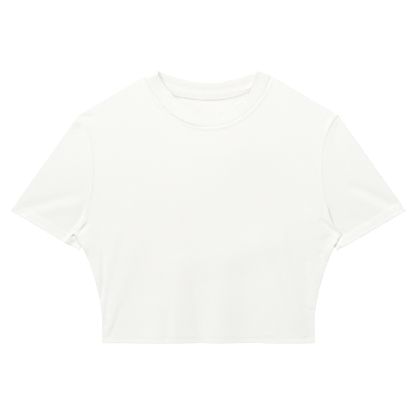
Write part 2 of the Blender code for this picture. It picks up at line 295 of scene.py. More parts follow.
# At the underarms the body's edge lies over the sleeve's corner, and the sleeve's seam has rolled to
# the front there, so that its lower ply shows past it.
underarms = {
    "rightArmSeam": ((-220, 271), (-227, 277.6), (-237, 287)),
    "rightArmStep": (0.3, 2.6),  # down to the corner: at once, and then sloping
    "leftArmSeam": ((211.5, 286.9), (214, 290.2), (220.6, 292.6)),
    "leftArmStep": (1.4, 0.3),
    "slopeReach": 6.5,
    "cornerRoll": 1.1,       # of the cloth along the wearer's right step
    "cornerRollWidth": 7.0,
    "cornerReach": (30.0, 38.0),  # from the cuff's corner, where the steps fade out
    "grooveDepth": 0.6,
    "grooveWidth": 1.3,
    "pit": (-221.6, 273.6),  # where step and body meet
    "pitDepth": 3.2,
    "pitWidth": 2.3,
    # narrow valleys beside the body: line, depth and width at its start and its end
    "rightValley": (((-219, 275), (-215.6, 281), (-213, 287)), (1.5, 3.4), (1.4, 2.6)),
    "leftValley": (((218, 275), (214.5, 281.5), (212, 288)), (1.0, 2.6), (1.0, 2.4)),
    "squeeze": 0.35,         # of the sleeve where the body lies on it
    "squeezeReach": 5.0,
    "overlapReach": 10.0,
    "backLift": 2.7,         # of the body's lower ply, over the sleeve
    "frontLift": 1.5,
    "leftLift": 0.3,         # share of both on the wearer's left, where they start lower down
    "leftLiftDrops": (271.0, 281.0),
    "bulge": 3.0,            # of the body's edge, out over the sleeve
    "bulgeDrop": 283.5,
    "bulgeReach": 7.0,
}


def overlap(x, y):
    near = bump(nearest(np.abs(x), y, sleeveSeam[:-1])[0], underarms["overlapReach"])
    late = smooth(garment["bodyLength"] / 2 - y, *underarms["leftLiftDrops"])
    return near * np.where(x > 0, underarms["leftLift"] * late, 1)


def cornerHeight(x, y):
    # what the underarm corner adds to the sleeve's upper ply
    toBody = nearest(np.abs(x), y, sleeveSeam[:-1])[0]
    height = -underarms["squeeze"] * bump(toBody, underarms["squeezeReach"])
    corner = place("cuffCorner")
    near = 1 - smooth(np.hypot(np.abs(x) - corner[0], y - corner[1]), *underarms["cornerReach"])
    for name, outSide in (("rightArm", 1), ("leftArm", -1)):
        route = np.array([at(*p) for p in underarms[name + "Seam"]])
        away, side, _ = nearest(x, y, route)
        beyond = smooth(away * side * outSide, -0.6, 0.9)
        groove = underarms["grooveDepth"] * bump(away, underarms["grooveWidth"])
        here = near * (np.sign(x) == np.sign(route[0][0]))
        step, slope = underarms[name + "Step"]
        height -= here * (groove + beyond * (step + slope * (1 - bump(away, underarms["slopeReach"]))))
        height += underarms["cornerRoll"] * here * bump(away, underarms["cornerRollWidth"]) * (x < 0)
    pit = at(*underarms["pit"])
    height -= underarms["pitDepth"] * bump(np.hypot(x - pit[0], y - pit[1]), underarms["pitWidth"])
    for name in ("rightValley", "leftValley"):
        route, depths, widths = underarms[name]
        away, _, share = nearest(x, y, np.array([at(*p) for p in route]))
        height -= np.interp(share, (0, 1), depths) * bump(away, np.interp(share, (0, 1), widths))
    return height


bodyEdge = np.vstack([armhole, sideSeam])


def softHeight(x, y):
    # top of the upper ply before seams: puffed between its closed edges, with its folds
    half = np.abs(x)
    lift = np.ones(np.shape(x))
    foldShare = np.ones(np.shape(x))
    for edge, reach in ((shoulderSeam, "bodyEdgeReach"), (sideSeam, "bodyEdgeReach"),
                        (sleeveFold, "sleeveEdgeReach"), (sleeveSeam, "sleeveEdgeReach")):
        away = nearest(half, y, edge)[0]
        lift *= 1 - np.exp(-((away / garment[reach]) ** 1.4))
        foldShare *= 1 - 0.7 * bump(away, garment["foldEdgeReach"])
    calm = garment["neckCalm"] * bump(nearest(half, y, frontNeckline)[0], garment["neckCalmReach"])
    folds = (foldHeight(x, y, bodyFolds) + foldHeight(x, y, sleeveFolds)) * foldShare
    low = edgeThickness(x, y)
    lowest = low - 1.2 + 0.6 * hemZone(x, y)
    fromBody, side, _ = nearest(half, y, bodyEdge)
    onSleeve = side > 0
    flatter = 1 - garment["sleeveFlatness"] * smooth(fromBody * onSleeve, 0, 70)
    height = np.maximum(low + lift * garment["puff"] * (1 - calm) * flatter + folds, lowest)
    sleeveTop = np.maximum(height + cornerHeight(x, y), 2 * garment["ply"] + 0.08)
    return np.where(onSleeve, sleeveTop, height + underarms["frontLift"] * overlap(x, y))


seams = {
    "grooveDepth": 0.2,
    "grooveWidth": 0.65,
    "neckGrooveDepth": 0.3,
    "weltRise": 0.6,         # of the cloth beside the armhole seam towards the underarm
    "weltOffset": 1.7,
    "weltWidth": 1.0,
    "allowance": 5.6,        # width of the seam allowance that shows through as a raised strip
    "neckAllowanceRise": 0.42,
    "neckEdgeRise": 0.3,     # of the panel where the thick band lifts it
    "neckEdgeReach": 20.0,
    "armAllowanceRise": 0.12,
    "stepWidth": 0.8,
    "cuffGrooveDepth": 0.04,
    "cuffFlare": (1.9, 1.5),  # of the cuffs' edges, which curl up a little, wearer's right and left
    "cuffFlareDepth": (18.0, 20.0),
    "cuffFlarePower": (1.6, 1.3),
    "hemSideFlare": 0.45,    # the same of the hem, towards both side seams
    "hemSideFlareDepth": 11.0,
    "hemFlare": 0.25,        # of the last few mm of the body's hem
    "hemFlareDepth": 6.0,
    "sleeveDrop": 1.6,       # of the sleeve beside the body, towards the wearer's left underarm
    "sleeveDropReach": 5.0,
    "rollRise": 1.2,         # of the body's edge beside it, a little above the underarm
    "rollWidth": 3.0,
    "ridgeRise": 0.16,       # of the cloth rolled to the wearer's right of each armhole seam
    "ridgeWidth": 1.4,
    "stitchGrooveWidth": 0.9,
    "hemRows": ((10.2, 0.0), (17.0, 0.13)),  # above the hem's edge, and how deep the stitches pull
    "cuffRows": (7.6, 12.8),
}


def allowanceStrip(away):
    # 1 where the seam allowance lies under the cloth, 0 elsewhere
    return 1 - smooth(away, seams["allowance"] - seams["stepWidth"], seams["allowance"] + seams["stepWidth"])


def seamHeight(x, y):
    # what seams, hems and stitching add to the upper ply
    half = np.abs(x)
    onHem, onCuff = half < garment["cuffsFrom"], half > garment["cuffsFrom"]
    toArm, armSide, armShare = nearest(half, y, armhole)
    fromSeam = toArm * armSide          # negative on the body
    # the seam is pulled in hard at the wearer's left underarm and lies flatter at the right one
    pulled = 1 + (2.0 * smooth(armShare, 0.84, 0.9) * (x > 0) - 0.5 * smooth(armShare, 0.7, 0.8) * (x < 0))
    pulled = pulled * np.where(x > 0, 0.3 + 0.7 * smooth(armShare, 0.12, 0.3), 1)
    height = -seams["grooveDepth"] * pulled * bump(toArm, seams["grooveWidth"])
    tuck = smooth(armShare, 0.73, 0.78) * (1 - smooth(armShare, 0.82, 0.9)) * (x > 0)
    height += seams["rollRise"] * tuck * bump(fromSeam, seams["rollWidth"]) * (fromSeam < 0)
    # from there to the underarm the sleeve lies lower than the body
    sunk = smooth(armShare, 0.72, 0.8) * (1 - 0.7 * smooth(armShare, 0.84, 0.98)) * (x > 0) * (fromSeam > 0)
    height -= seams["sleeveDrop"] * sunk * np.exp(-toArm / seams["sleeveDropReach"])
    upper = 1 - smooth(armShare, 0.66, 0.8)
    height += seams["ridgeRise"] * upper * bump(fromSeam + 1.3 * np.sign(x), seams["ridgeWidth"])
    weltAt = seams["weltOffset"] * (1 - 0.6 * smooth(armShare, 0.85, 1))
    lowRight = smooth(armShare, 0.7, 0.86) * (1 - 0.8 * smooth(armShare, 0.95, 1))
    low = np.where(x < 0, lowRight, smooth(armShare, 0.84, 0.92))
    height += seams["weltRise"] * low * bump(toArm - weltAt, seams["weltWidth"]) * ((x < 0) | (fromSeam < 0))
    # the allowance lies towards the sleeve, but towards the body at the wearer's left shoulder
    onBody = 2.2 * (fromSeam < 0) * (1 - smooth(armShare, 0.1, 0.25))
    onSleeve = (fromSeam > 0) * (1 - low) * smooth(armShare, 0.1, 0.3)
    lies = np.where((x > 0) & (armShare < 0.25), onBody, onSleeve)
    height += seams["armAllowanceRise"] * allowanceStrip(toArm) * lies
    toNeck, _, _ = nearest(half, y, frontNeckline)
    fromCorner = np.hypot(half - places["neck"][0], y - place("neck")[1])
    height += seams["neckAllowanceRise"] * allowanceStrip(toNeck) * (0.25 + 0.75 * smooth(fromCorner, 2, 16))
    neckEdge = bump(toNeck, seams["neckEdgeReach"]) * smooth(fromCorner, 0, 12)
    height += seams["neckEdgeRise"] * neckEdge
    height -= seams["neckGrooveDepth"] * bump(toNeck, seams["grooveWidth"])
    for depth, pull in seams["hemRows"]:
        height -= pull * bump(y - hemY - depth, seams["stitchGrooveWidth"]) * onHem
    fromCuff = nearest(half, y, cuff)[0]
    for depth in seams["cuffRows"]:
        height -= seams["cuffGrooveDepth"] * bump(fromCuff - depth, seams["stitchGrooveWidth"]) * onCuff
    height += seams["hemFlare"] * np.clip(1 - (y - hemY) / seams["hemFlareDepth"], 0, 1) * onHem
    sideFlare = np.clip(1 - (y - hemY) / seams["hemSideFlareDepth"], 0, 1)
    height += seams["hemSideFlare"] * sideFlare * smooth(half, 75, 120) * onHem
    flare, flareDepth, power = (np.where(x < 0, *seams["cuffFlare" + key]) for key in ("", "Depth", "Power"))
    height += flare * np.clip(1 - fromCuff / flareDepth, 0, 1) ** power * onCuff
    return height


def topHeight(x, y):
    return softHeight(x, y) + seamHeight(x, y)


def deselect():
    for thing in bpy.context.selected_objects:
        thing.select_set(False)


def edit(piece, steps):
    # run edit-mode operators on all of a piece
    deselect()
    piece.select_set(True)
    bpy.context.view_layer.objects.active = piece
    bpy.ops.object.mode_set(mode="EDIT")
    bpy.ops.mesh.select_all(action="SELECT")
    steps()
    bpy.ops.object.mode_set(mode="OBJECT")


def applyModifier(piece, kind, **settings):
    deselect()
    piece.select_set(True)
    bpy.context.view_layer.objects.active = piece
    modifier = piece.modifiers.new(kind.title(), kind)
    for key, value in settings.items():
        setattr(modifier, key, value)
    bpy.ops.object.modifier_apply(modifier=modifier.name)


def clothPiece(name, points, cutPlan, thickness, finish, wrap=False):
    # sheet of cloth: points[row, column] in mm are its middle surface, cutPlan its place in the flat cut
    rows, columns = points.shape[0] - 1, points.shape[1] - 1
    deselect()
    bpy.ops.mesh.primitive_grid_add(x_subdivisions=columns, y_subdivisions=rows, size=1)
    piece = bpy.context.object
    piece.name = piece.data.name = name
    start = np.zeros(len(piece.data.vertices) * 3)
    piece.data.vertices.foreach_get("co", start)
    start = start.reshape(-1, 3)
    column = np.rint((start[:, 0] + 0.5) * columns).astype(int)
    row = np.rint((start[:, 1] + 0.5) * rows).astype(int)
    piece.data.vertices.foreach_set("co", (points[row, column] * mm).ravel())
    corner = np.zeros(len(piece.data.loops), int)
    piece.data.loops.foreach_get("vertex_index", corner)
    uvs = cutPlan[row, column][corner] * mm
    piece.data.uv_layers[0].data.foreach_set("uv", uvs.ravel())
    piece.data.uv_layers[0].name = "cut"
    if wrap:
        edit(piece, lambda: bpy.ops.mesh.remove_doubles(threshold=1e-6))
    edit(piece, lambda: bpy.ops.mesh.normals_make_consistent(inside=False))
    flatArea = sum(face.area for face in piece.data.polygons)
    applyModifier(piece, "SOLIDIFY", thickness=thickness * mm, offset=0.0)
    deselect()
    piece.select_set(True)
    bpy.ops.object.shade_smooth_by_angle(angle=math.radians(60))
    piece.data.materials.append(finish)
    print(f"{name}: {len(piece.data.polygons)} faces, {flatArea:.4f} square metres of cloth")
    return piece


def dress(piece, *nodes, slot):
    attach(piece, "root")
    if nodes:
        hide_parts(*nodes)


# Materials.


def linear(hexColour):
    parts = [int(hexColour[i:i + 2], 16) / 255 for i in (1, 3, 5)]
    return tuple(c / 12.92 if c <= 0.04045 else ((c + 0.055) / 1.055) ** 2.4 for c in parts) + (1.0,)


def addNode(tree, kind, links=None, **settings):
    # adds a node; settings are its properties or its inputs, links feed its inputs
    node = tree.nodes.new(kind)
    for key, value in settings.items():
        if hasattr(node, key):
            setattr(node, key, value)
        else:
            node.inputs[key.replace("_", " ")].default_value = value
    for key, source in (links or {}).items():
        tree.links.new(source, node.inputs[key])
    return node


def knit(name, light, dark, walePitch, coursePitch, bumpDistance, roughness, sheen):
    material = bpy.data.materials.new(name)
    material.use_nodes = True
    tree = material.node_tree
    shader = tree.nodes["Principled BSDF"]
    uv = addNode(tree, "ShaderNodeUVMap", uv_map="cut").outputs["UV"]
    split = addNode(tree, "ShaderNodeSeparateXYZ", {0: uv})
    # wales run up the cloth, courses across it
    waves = []
    for axis, pitch in (("X", walePitch), ("Y", coursePitch)):
        turn = addNode(tree, "ShaderNodeMath", {0: split.outputs[axis]}, operation="MULTIPLY")
        turn.inputs[1].default_value = 2 * math.pi / (pitch * mm)
        waves.append(addNode(tree, "ShaderNodeMath", {0: turn.outputs[0]}, operation="SINE").outputs[0])
    loops = addNode(tree, "ShaderNodeMath", {0: waves[0], 1: waves[1]}, operation="MULTIPLY")
    ribs = addNode(tree, "ShaderNodeMath", {0: waves[0], 1: loops.outputs[0]}, operation="ADD")
    # yarn that runs thick and thin, drawn coarser than real so that it shows
    yarnMap = addNode(tree, "ShaderNodeMapping", {"Vector": uv},
                      Scale=(1 / (1.7 * mm), 1 / (2.6 * mm), 1.0))
    yarn = addNode(tree, "ShaderNodeTexNoise", {"Vector": yarnMap.outputs[0]},
                   Scale=1.0, Detail=3.0, Roughness=0.6)
    cloud = addNode(tree, "ShaderNodeTexNoise", {"Vector": uv}, Scale=1 / (60 * mm), Detail=2.0)
    mixed = addNode(tree, "ShaderNodeMath", {0: cloud.outputs[0], 2: yarn.outputs[0]},
                    operation="MULTIPLY_ADD")
    mixed.inputs[1].default_value = 0.05
    tone = addNode(tree, "ShaderNodeMapRange", {"Value": mixed.outputs[0]},
                   **{"From Min": 0.3, "From Max": 0.75})
    colour = addNode(tree, "ShaderNodeMix", {"Factor": tone.outputs[0]}, data_type="RGBA")
    colour.inputs[6].default_value, colour.inputs[7].default_value = linear(dark), linear(light)
    tree.links.new(colour.outputs[2], shader.inputs["Base Color"])
    matt = addNode(tree, "ShaderNodeMapRange", {"Value": yarn.outputs[0]},
                   **{"To Min": roughness - 0.05, "To Max": roughness + 0.05})
    tree.links.new(matt.outputs[0], shader.inputs["Roughness"])
    fine = addNode(tree, "ShaderNodeBump", {"Height": ribs.outputs[0]},
                   Strength=0.5, Distance=bumpDistance * mm)
    rough = addNode(tree, "ShaderNodeBump", {"Height": yarn.outputs[0], "Normal": fine.outputs[0]},
                    Strength=0.5, Distance=0.25 * mm)
    tree.links.new(rough.outputs[0], shader.inputs["Normal"])
    shader.inputs["Sheen Weight"].default_value = sheen
    shader.inputs["Sheen Roughness"].default_value = 0.55
    shader.inputs["IOR"].default_value = 1.53
    shader.inputs["Specular IOR Level"].default_value = 0.3
    return material


def plain(name, colour, roughness):
    material = bpy.data.materials.new(name)
    material.use_nodes = True
    shader = material.node_tree.nodes["Principled BSDF"]
    shader.inputs["Base Color"].default_value = linear(colour)
    shader.inputs["Roughness"].default_value = roughness
    return material


def spun(name, light, dark, roughness):
    material = plain(name, light, roughness)
    tree = material.node_tree
    shader = tree.nodes["Principled BSDF"]
    spot = addNode(tree, "ShaderNodeTexCoord").outputs["Object"]
    fibre = addNode(tree, "ShaderNodeTexNoise", {"Vector": spot}, Scale=1 / (1.2 * mm), Detail=2.0)
    colour = addNode(tree, "ShaderNodeMix", {"Factor": fibre.outputs[0]}, data_type="RGBA")
    colour.inputs[6].default_value, colour.inputs[7].default_value = linear(dark), linear(light)
    tree.links.new(colour.outputs[2], shader.inputs["Base Color"])
    hairs = addNode(tree, "ShaderNodeBump", {"Height": fibre.outputs[0]}, Strength=0.4, Distance=0.05 * mm)
    tree.links.new(hairs.outputs[0], shader.inputs["Normal"])
    shader.inputs["IOR"].default_value = 1.58
    return material


# Combed cotton single jersey, bleached but not blued: soft warm white, quite matt, with a faint nap.
jersey = knit("cotton_jersey_knitted", "#f3f3f1", "#eeedea", 0.9, 0.7, 0.06, 0.9, 0.15)
# Fine cotton and elastane rib for the neckband: same white, with wider, deeper wales and less nap.
rib = knit("cotton_rib_knitted", "#f3f3f1", "#eeedea", 1.3, 0.8, 0.1, 0.92, 0.12)
# Woven cotton tape: a shade greyer than the jersey and a touch less matt.
tape = knit("cotton_tape_woven", "#f3f2f0", "#ecebe8", 0.8, 1.6, 0.08, 0.85, 0.1)
# Spun polyester sewing thread: a hairy yarn with a soft shine, a shade off the cloth.
thread = spun("polyester_thread_spun", "#edebe7", "#e0ded9", 0.6)


def panelShares(neckCount, shoulderLength):
    # share of the half width for each column, and the places of the outer ones along the shoulder
    shoulder = spread(shoulderLength, (), (0.25, 0.7, 1.35, 2.2, 3.3, 4.6, 6.2), 2.0) / shoulderLength
    neckShare = 0.46
    shares = np.concatenate([even(neckCount) * neckShare, neckShare + (1 - neckShare) * shoulder[1:]])
    return shares, shoulder


def panelPlan(neckline, neckCount, step, hemDrops):
    # plan points [row, column] of one half of a body panel, from neck to hem
    inset = garment["ply"] / 2
    neckEdge = alongCurve(neckline, curveLength(neckline) * (1 - even(neckCount)))
    shoulderLength = lengths(shoulderSeam)[-1]
    shares, shoulder = panelShares(neckCount, shoulderLength)
    top = np.vstack([neckEdge, line(shoulderSeam[0], shoulderSeam[1], shoulder[1:])])
    armLength, sideLength = curveLength("armhole"), curveLength("side")
    armDistances = spread(armLength, (0.25, 0.7, 1.35, 2.2, 3.3, 4.6, 6.0, 7.4), (1.0, 2.2), step)
    sideDistances = spread(sideLength, (0.6, 1.4, 2.6), (), step)[1:]
    side = np.vstack([alongCurve("armhole", armDistances), alongCurve("side", sideDistances)])
    gone = np.concatenate([armDistances, armLength + sideDistances]) / (armLength + sideLength)
    centre = line(top[0], at(0, places["waist"][1]), gone)
    fade = (1 - gone) ** 3
    for drop in hemDrops:
        side = np.vstack([side, at(places["hem"][0], drop)])
        centre = np.vstack([centre, at(0, drop)])
        fade = np.append(fade, 0.0)
    shape = top - line(top[0], top[-1], shares)
    half = centre[:, None] * (1 - shares[None, :, None]) + side[:, None] * shares[None, :, None]
    half = half + shape[None] * fade[:, None, None]
    # closed edges stop half a ply inside the outline, so that the outside of the cloth reaches it
    fromShoulder = nearest(half[..., 0], half[..., 1], shoulderSeam)[0]
    onShoulder = inset * bump(fromShoulder, 3.0) * (half[..., 0] > places["neck"][0])
    half -= leftOf(*shoulderSeam) * onShoulder[..., None]
    fromSide = nearest(half[..., 0], half[..., 1], sideSeam)[0]
    belowArm = np.arange(half.shape[0]) >= len(armDistances) - 1
    half[..., 0] -= inset * bump(fromSide, 3.0) * belowArm[:, None]
    out = bump(half[..., 1] - at(0, underarms["bulgeDrop"])[1], underarms["bulgeReach"])
    half[..., 0] += underarms["bulge"] * out * bump(fromSide, 9.0)
    return half


def bothHalves(half):
    other = half[:, :0:-1] * np.array([-1, 1])
    return np.concatenate([other, half], axis=1)


def curl(x, y, radius):
    # how far the cloth has turned down towards a closed edge of the body
    half = np.abs(x)
    away = np.minimum(nearest(half, y, shoulderSeam)[0], nearest(half, y, sideSeam)[0]) - garment["ply"] / 2
    left = np.clip(radius - away, 0, radius)
    return radius - np.sqrt(np.maximum(radius**2 - left**2, 0))


hem = {
    "rowDrops": (417.2, 419.4, 421.6, 423.8, 426, 428.2, 430.2, 431.6, 432.6, 433.3, 433.9, 434.6, 435.6,
                 436.9, 438.1, 438.9, 439.5, 440.1, 440.8, 442, 443.6, 445.2, 446.4, 447.6, 448.4, 449.0),
    "allowanceRows": (0.6, 1.6, 3.4, 6, 9, 12, 14.6, 16.4),  # of the turned-up cloth, above its fold
    "allowanceInset": 1.6,   # of its ends from the side seams
    "turnSteps": 6,
    "space": 0.1,            # between a ply and its turned-up allowance
    "cuffInset": 0.3,        # from the cuff's edge to where the cloth starts to turn
}


def withTurnUp(plan, height, upward):
    # adds the fold at the hem and the allowance behind it: points and cut plan
    radius = (garment["ply"] + hem["space"]) / 2
    points = [np.dstack([plan, height])]
    cutPlan = [plan]
    edge, edgeHeight = plan[-1], height[-1]
    foldY = edge[:, 1]
    for step in range(1, hem["turnSteps"] + 1):
        angle = math.pi * step / hem["turnSteps"]
        row = np.stack([edge[:, 0], foldY - radius * math.sin(angle),
                        edgeHeight + upward * radius * (1 - math.cos(angle))], axis=1)
        points.append(row[None])
        cutPlan.append(np.stack([edge[:, 0], foldY - radius * angle], axis=1)[None])
    tuck = 1 - hem["allowanceInset"] / places["hem"][0]
    for depth in hem["allowanceRows"]:
        index = np.interp(foldY[0] + depth, plan[::-1, 0, 1], np.arange(len(plan))[::-1])
        above = between(height, index)
        row = np.stack([edge[:, 0] * tuck, foldY + depth, above + upward * 2 * radius], axis=1)
        points.append(row[None])
        cutPlan.append(np.stack([edge[:, 0], foldY - radius * math.pi - depth], axis=1)[None])
    return np.concatenate(points), np.concatenate(cutPlan)


def buildFrontPanel():
    plan = bothHalves(panelPlan("frontNeckline", 46, 2.3, hem["rowDrops"]))
    x, y = plan[..., 0], plan[..., 1]
    ply = garment["ply"]
    thick = edgeThickness(x, y)
    height = topHeight(x, y) - ply / 2 - curl(x, y, garment["curlRadius"]) * (thick - ply) / 2
    points, cutPlan = withTurnUp(plan, height, -1)
    return clothPiece("frontPanel", points, cutPlan, ply, jersey)


def buildBackPanel():
    plan = bothHalves(panelPlan("backNeckline", 24, 4.2, hem["rowDrops"][::2]))
    x, y = plan[..., 0], plan[..., 1]
    ply = garment["ply"]
    thick = edgeThickness(x, y)
    height = ply / 2 + curl(x, y, garment["curlRadius"]) * (thick - ply) / 2
    height += underarms["backLift"] * overlap(x, y)
    # rises a little from the back neck to where the front neck lies over it
    drop = garment["bodyLength"] / 2 - y
    height += np.interp(drop, (50, 72, 110), (0, 1.1, 0)) * bump(x, 60)
    points, cutPlan = withTurnUp(plan, height, 1)
    return clothPiece("backPanel", points, cutPlan, ply, jersey)


sleeves = {
    "upperSections": 112,
    "lowerSections": 44,
    "turnSteps": 6,
    "step": 2.2,
    "underarmShare": 0.2,    # last part of the cuff's edge, which few columns reach
    "underarmColumns": 0.08,  # share of the columns that do
    "underarmCrowd": 1.35,   # how much closer the lengthwise lines lie towards the underarm
    "length": 194.0,         # nominal length of a line, on which the rows are set out
    "closeAtSeam": (0.25, 0.7, 1.35, 2.2, 3.4),  # close rows, from the armhole and from the cuff
    "closeAtCuff": (0.5, 1.2, 2.2, 3.6, 5.4, 6.6, 7.4, 8.2, 9.6, 11, 12.2, 13, 13.8, 15.2),
    "allowanceRows": (1.2, 3.6, 6.6, 9.8, 12.6),
    "allowanceStep": 0.9,    # of each turned-up row in the cut plan
    "aroundExtra": 0.3,      # added there to each step round the sleeve
}


def sleevePlan(sections, base):
    # plan [row, column] of one flat ply: its columns run from the armhole to the cuff
    corner = sleeves["underarmShare"]
    crowd = 1 - (1 - even(sections)) ** sleeves["underarmCrowd"]
    arm = shifted(curve("armhole", crowd), -garment["seamGap"])
    steps = max(2, round(sections * sleeves["underarmColumns"]))
    shares = np.concatenate([even(sections - steps) * (1 - corner), 1 - corner * (1 - even(steps)[1:])])
    edge = shifted(line(place("cuffTip"), place("cuffCorner"), shares), hem["cuffInset"])
    # each column keeps its close rows in mm near both ends and squeezes the middle
    whole, atSeam, atCuff = sleeves["length"], sleeves["closeAtSeam"][-1], sleeves["closeAtCuff"][-1]
    columns = []
    for start, end, total in zip(arm, edge, np.hypot(*(edge - arm).T)):
        room = max(total - atSeam - atCuff, 2.0)
        squeezed = atSeam + (base - atSeam) * room / (whole - atSeam - atCuff)
        gone = np.where(base <= atSeam, base, squeezed)
        gone = np.where(base >= whole - atCuff, total - (whole - base), gone)
        columns.append(line(start, end, gone / total))
    return againstBody(np.array(columns).transpose(1, 0, 2))


def againstBody(plan):
    # lower edge of the sleeve, moved over to the side of the body
    straight = np.array([place("underarm"), place("cuffCorner")])
    away = nearest(plan[..., 0], plan[..., 1], straight)[0]
    seamX = np.interp(plan[..., 1], sleeveSeam[::-1, 1], sleeveSeam[::-1, 0])
    straightX = np.interp(plan[..., 1], straight[::-1, 1], straight[::-1, 0])
    plan[..., 0] += (seamX - straightX) * bump(away, 8.0)
    return plan


def buildSleeve(name, side):
    ply, inset = garment["ply"], garment["foldReach"]
    fromFold = -leftOf(*sleeveFold)                  # from either folded edge into the sleeve
    fromUnder = leftOf(*sleeveSeam[:2])
    base = spread(sleeves["length"], sleeves["closeAtSeam"], sleeves["closeAtCuff"], sleeves["step"])
    angles = np.linspace(0, math.pi, sleeves["turnSteps"] + 2)[1:-1]

    def inwards(plan):
        # pull the ply's ends in from the folded edges, to where their round turns start
        across = np.linspace(0, 1, plan.shape[1])
        near = np.maximum(0, 1 - across * 30) ** 2
        far = np.maximum(0, 1 - (1 - across) * 30) ** 2
        return plan + fromFold * inset * near[None, :, None] + fromUnder * inset * far[None, :, None]

    def turn(startPoint, startHeight, endHeight, outward):
        radius = (endHeight - startHeight) / 2
        reach = np.full(len(radius), inset - ply / 2)
        out = startPoint[:, None] + outward * (reach[:, None] * np.sin(angles)[None])[..., None]
        up = startHeight[:, None] + radius[:, None] * (1 - np.cos(angles)[None])
        return np.dstack([out, up])

    upperPlan = inwards(sleevePlan(sleeves["upperSections"], base))
    lowerPlan = inwards(sleevePlan(sleeves["lowerSections"], base))
    upperTop = topHeight(upperPlan[..., 0] * side, upperPlan[..., 1]) - ply / 2
    lowerTop = np.full(lowerPlan.shape[:2], ply / 2)
    upper, lower = np.dstack([upperPlan, upperTop]), np.dstack([lowerPlan, lowerTop])
    underTurn = turn(lowerPlan[:, -1], lowerTop[:, -1], upperTop[:, -1], -fromUnder)
    foldTurn = turn(upperPlan[:, 0], upperTop[:, 0], lowerTop[:, 0], -fromFold)
    ring = np.concatenate([lower, underTurn, upper[:, ::-1], foldTurn, lower[:, :1]], axis=1)

    # cuff turned up inside: the ring shrinks by a ply and runs back
    radius = (ply + hem["space"]) / 2
    outward = leftOf(*cuff)
    lowerCount, upperCount = lower.shape[1], upper.shape[1]
    lift = np.concatenate([np.ones(lowerCount), np.cos(angles), -np.ones(upperCount), -np.cos(angles), [1.0]])
    inward = np.concatenate([np.zeros((lowerCount, 2)), fromUnder * np.sin(angles)[:, None],
                             np.zeros((upperCount, 2)), fromFold * np.sin(angles)[:, None], np.zeros((1, 2))])

    def tucked(row, out, back):
        row = row.copy()
        row[:, :2] += outward * out + inward * back
        row[:, 2] += lift * back
        return row[None]

    rows = [ring]
    for step in range(1, hem["turnSteps"] + 1):
        angle = math.pi * step / hem["turnSteps"]
        rows.append(tucked(ring[-1], radius * math.sin(angle), radius * (1 - math.cos(angle))))
    toCuff = sleeves["length"] - base
    for depth in sleeves["allowanceRows"]:
        index = np.interp(depth, toCuff[::-1], np.arange(len(base))[::-1])
        rows.append(tucked(between(ring, index), 0, 2 * radius))
    points = np.concatenate(rows)
    # flat cut: across the sleeve all round, and along it
    middle = ring[len(base) // 2, :, :2]
    around = np.concatenate([[0], np.cumsum(np.hypot(*np.diff(middle, axis=0).T) + sleeves["aroundExtra"])])
    turnedUp = np.arange(1, len(points) - len(base) + 1) * sleeves["allowanceStep"]
    cutPlan = np.dstack(np.meshgrid(around, np.concatenate([base, sleeves["length"] + turnedUp])))
    if side < 0:
        points = points * np.array([-1, 1, 1])
    return clothPiece(name, points, cutPlan, ply, jersey, wrap=True)


band = {
    "ply": 0.72,
    "thickness": 1.4,
    "gap": 0.18,             # at its seam
    "tipLift": (3.2, 1.3),   # of its inner edge beside the high shoulder points, wearer's right and left
    "seamShare": (0.45, 0.0),  # of that, how much its seam rises too
    "tipReach": 0.18,
    "turnReach": 0.9,        # how far its turn at each shoulder swings out
    "creviceRise": 0.6,      # of its back half beside the front one
    "creviceDepth": 0.3,     # how far it dips where it runs in under the front one
    "gapeAt": (-58.5, 38.5),
    "gapeRise": 1.2,
    "gapeReach": 5.0,
    "proud": 0.55,           # how far it stands over the panel at its seam
    "frontRest": 2.15,       # least height of its front half's lower side
    "turnShort": 1.2,        # how far its turn at the shoulder stays back from the neck's seam
    "cutWidth": 46.0,        # before it is folded double
    "acrossSteps": 12,
    "foldSteps": 6,
    "turnSteps": 14,
    "frontSections": 90,
    "backSections": 64,
}


